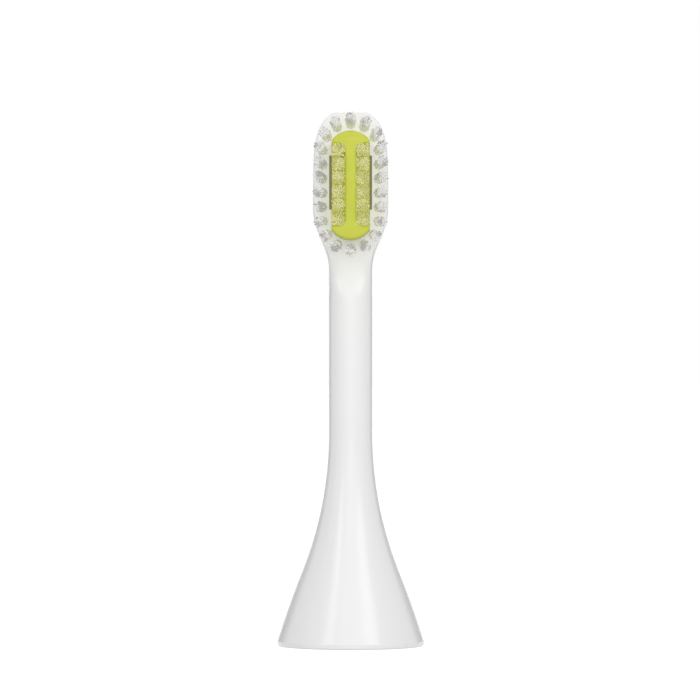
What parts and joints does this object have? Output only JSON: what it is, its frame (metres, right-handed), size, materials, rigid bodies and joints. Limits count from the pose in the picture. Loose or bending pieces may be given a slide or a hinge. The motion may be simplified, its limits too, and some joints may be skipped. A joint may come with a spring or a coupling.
{
  "type": "electric toothbrush head",
  "caption": "Push-on electric toothbrush head: hollow flared skirt, slim neck and oval plate with a ring of clear bristle tufts round a soft I-shaped insert.",
  "frame": {"origin": "centre of the rim that meets the handle, on the rim's plane", "axes": "+Z along the neck from rim to tip, -Y the way the bristles point, X across the head"},
  "size_m": [0.0234, 0.0238, 0.085],
  "materials": {
    "white_plastic": "glossy moulded white",
    "lime_elastomer": "satin soft lime green",
    "clear_nylon": "clear to milky bristle filament",
    "rail_steel": "thin dull metal strip",
    "socket_plastic": "hard white engineering plastic",
    "clip_steel": "bright spring steel"
  },
  "bodies": {
    "root": {"brush_body": "white_plastic", "massage_rib": "lime_elastomer", "side_rail_left": "rail_steel", "side_rail_right": "rail_steel", "drive_socket": "socket_plastic", "spring_clip": "clip_steel", "outer_tuft_01": "clear_nylon", "outer_tuft_02": "clear_nylon", "outer_tuft_03": "clear_nylon", "outer_tuft_04": "clear_nylon", "outer_tuft_05": "clear_nylon", "outer_tuft_06": "clear_nylon", "outer_tuft_07": "clear_nylon", "outer_tuft_08": "clear_nylon", "outer_tuft_09": "clear_nylon", "outer_tuft_10": "clear_nylon", "outer_tuft_11": "clear_nylon", "outer_tuft_12": "clear_nylon", "outer_tuft_13": "clear_nylon", "outer_tuft_14": "clear_nylon", "outer_tuft_15": "clear_nylon", "outer_tuft_16": "clear_nylon", "outer_tuft_17": "clear_nylon", "outer_tuft_18": "clear_nylon", "outer_tuft_19": "clear_nylon", "outer_tuft_20": "clear_nylon", "outer_tuft_21": "clear_nylon", "outer_tuft_22": "clear_nylon", "inner_tuft_01": "clear_nylon", "inner_tuft_02": "clear_nylon", "inner_tuft_03": "clear_nylon", "inner_tuft_04": "clear_nylon", "inner_tuft_05": "clear_nylon", "inner_tuft_06": "clear_nylon", "inner_tuft_07": "clear_nylon", "inner_tuft_08": "clear_nylon", "inner_tuft_09": "clear_nylon", "inner_tuft_10": "clear_nylon", "inner_tuft_11": "clear_nylon", "inner_tuft_12": "clear_nylon"}
  },
  "joints": []
}
